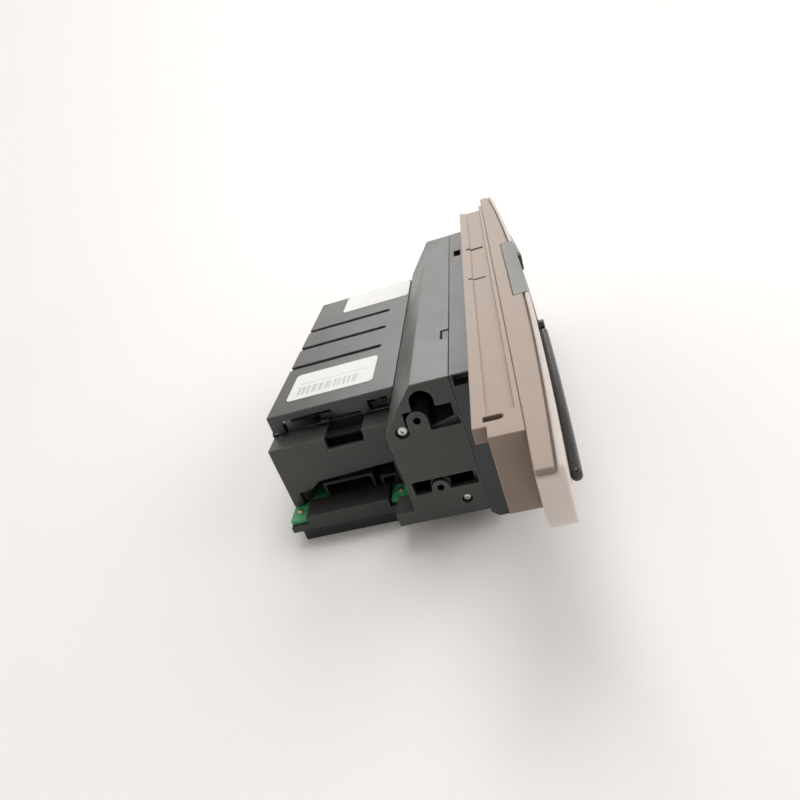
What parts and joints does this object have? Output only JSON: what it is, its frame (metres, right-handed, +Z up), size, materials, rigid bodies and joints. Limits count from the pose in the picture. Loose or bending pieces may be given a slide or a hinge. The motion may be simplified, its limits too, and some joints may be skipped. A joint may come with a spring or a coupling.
{
  "type": "bill validator",
  "caption": "Slim note acceptor with a long crowned bezel, a hinged clamshell note path and belt-linked drive rollers, fixed to its panel from behind.",
  "frame": {"origin": "centre of the four panel screw holes, on the rear face of the bezel flange", "axes": "+X out of the bezel towards the customer, +Y along the bezel, +Z up"},
  "size_m": [0.0981, 0.246, 0.0565],
  "materials": {
    "housing_plastic": "textured mould",
    "cover_plastic": "fine spark-eroded mould texture",
    "frame_plastic": "fine mould texture",
    "bezel_tan": "fine mould texture",
    "bezel_light": "smooth",
    "gloss_black": "polished mould",
    "smoked_window": "smoked, smooth",
    "guide_black": "low-friction",
    "board_green": "solder mask",
    "connector_black": "moulded",
    "chip_black": "moulded",
    "lens_red": "infrared-passing, polished",
    "motor_steel": "drawn can",
    "zinc_steel": "zinc plated",
    "bright_steel": "ground",
    "bronze": "sintered",
    "rubber_black": "matt",
    "acetal": "natural",
    "brass": "machined",
    "label_white": "printed film"
  },
  "bodies": {
    "chassis": {"front_housing": "housing_plastic", "mounting_frame": "frame_plastic", "bezel_flange": "bezel_tan", "bezel_trim": "bezel_tan", "front_cover": "bezel_light", "mouth_throat": "gloss_black", "near_lip": "gloss_black", "far_lip": "gloss_black", "status_window": "smoked_window", "lower_housing": "housing_plastic", "bottom_cover": "housing_plastic", "main_board": "board_green", "board_connectors": "connector_black", "board_chips": "chip_black", "lower_guide_plate": "guide_black", "lower_lens_bar": "lens_red", "lower_sensor_board": "board_green", "motor": "motor_steel", "motor_screws": "zinc_steel", "idler_axle": "bright_steel", "encoder_sensor": "connector_black", "shaft_bushes": "bronze", "drive_belt": "rubber_black", "hinge_pins": "bright_steel", "frame_screws": "zinc_steel", "side_screws": "zinc_steel", "bottom_screws": "zinc_steel"},
    "top_cover": {"upper_cover": "cover_plastic", "upper_guide_plate": "guide_black", "upper_lens_bar": "lens_red", "upper_sensor_board": "board_green", "pinch_springs": "bright_steel", "near_label": "label_white", "far_label": "label_white"},
    "latch": {"cover_latch": "guide_black"},
    "front_pinch": {"front_pinch_axle": "bright_steel", "front_pinch_rollers": "acetal"},
    "rear_pinch": {"rear_pinch_axle": "bright_steel", "rear_pinch_rollers": "acetal"},
    "front_drive": {"front_drive_shaft": "bright_steel", "front_drive_rollers": "rubber_black", "front_pulley": "acetal", "drive_gear": "acetal"},
    "rear_drive": {"rear_drive_shaft": "bright_steel", "rear_drive_rollers": "rubber_black", "rear_pulley": "acetal", "encoder_wheel": "connector_black"},
    "idler": {"idler_gear": "acetal"},
    "motor_rotor": {"motor_pinion": "brass"}
  },
  "joints": [
    {"name": "cover_hinge", "type": "hinge", "parent": "chassis", "child": "top_cover", "pos_m": [-0.0762, 0, -0.0126], "axis": [0, -1, 0], "range_deg": [0, 70]},
    {"name": "latch_slide", "type": "slide", "parent": "top_cover", "child": "latch", "axis": [1, 0, 0], "range_m": [0, 0.0024]},
    {"name": "front_drive_spin", "type": "hinge", "parent": "chassis", "child": "front_drive", "pos_m": [-0.0412, 0, -0.02], "axis": [0, 1, 0], "continuous": true},
    {"name": "rear_drive_spin", "type": "hinge", "parent": "chassis", "child": "rear_drive", "pos_m": [-0.0682, 0, -0.02], "axis": [0, 1, 0], "continuous": true},
    {"name": "idler_spin", "type": "hinge", "parent": "chassis", "child": "idler", "pos_m": [-0.04613, 0, -0.02927], "axis": [0, 1, 0], "continuous": true},
    {"name": "motor_spin", "type": "hinge", "parent": "chassis", "child": "motor_rotor", "pos_m": [-0.0547, 0, -0.02654], "axis": [0, 1, 0], "continuous": true},
    {"name": "front_pinch_spin", "type": "hinge", "parent": "top_cover", "child": "front_pinch", "pos_m": [-0.0412, 0, -0.0103], "axis": [0, 1, 0], "continuous": true},
    {"name": "rear_pinch_spin", "type": "hinge", "parent": "top_cover", "child": "rear_pinch", "pos_m": [-0.0682, 0, -0.0103], "axis": [0, 1, 0], "continuous": true}
  ],
  "couplings": [
    {"joint": "rear_drive_spin", "follows": "front_drive_spin", "ratio": 1},
    {"joint": "idler_spin", "follows": "front_drive_spin", "ratio": -1.625},
    {"joint": "motor_spin", "follows": "front_drive_spin", "ratio": 3.25},
    {"joint": "front_pinch_spin", "follows": "front_drive_spin", "ratio": -2.9167},
    {"joint": "rear_pinch_spin", "follows": "front_drive_spin", "ratio": -2.9167}
  ]
}
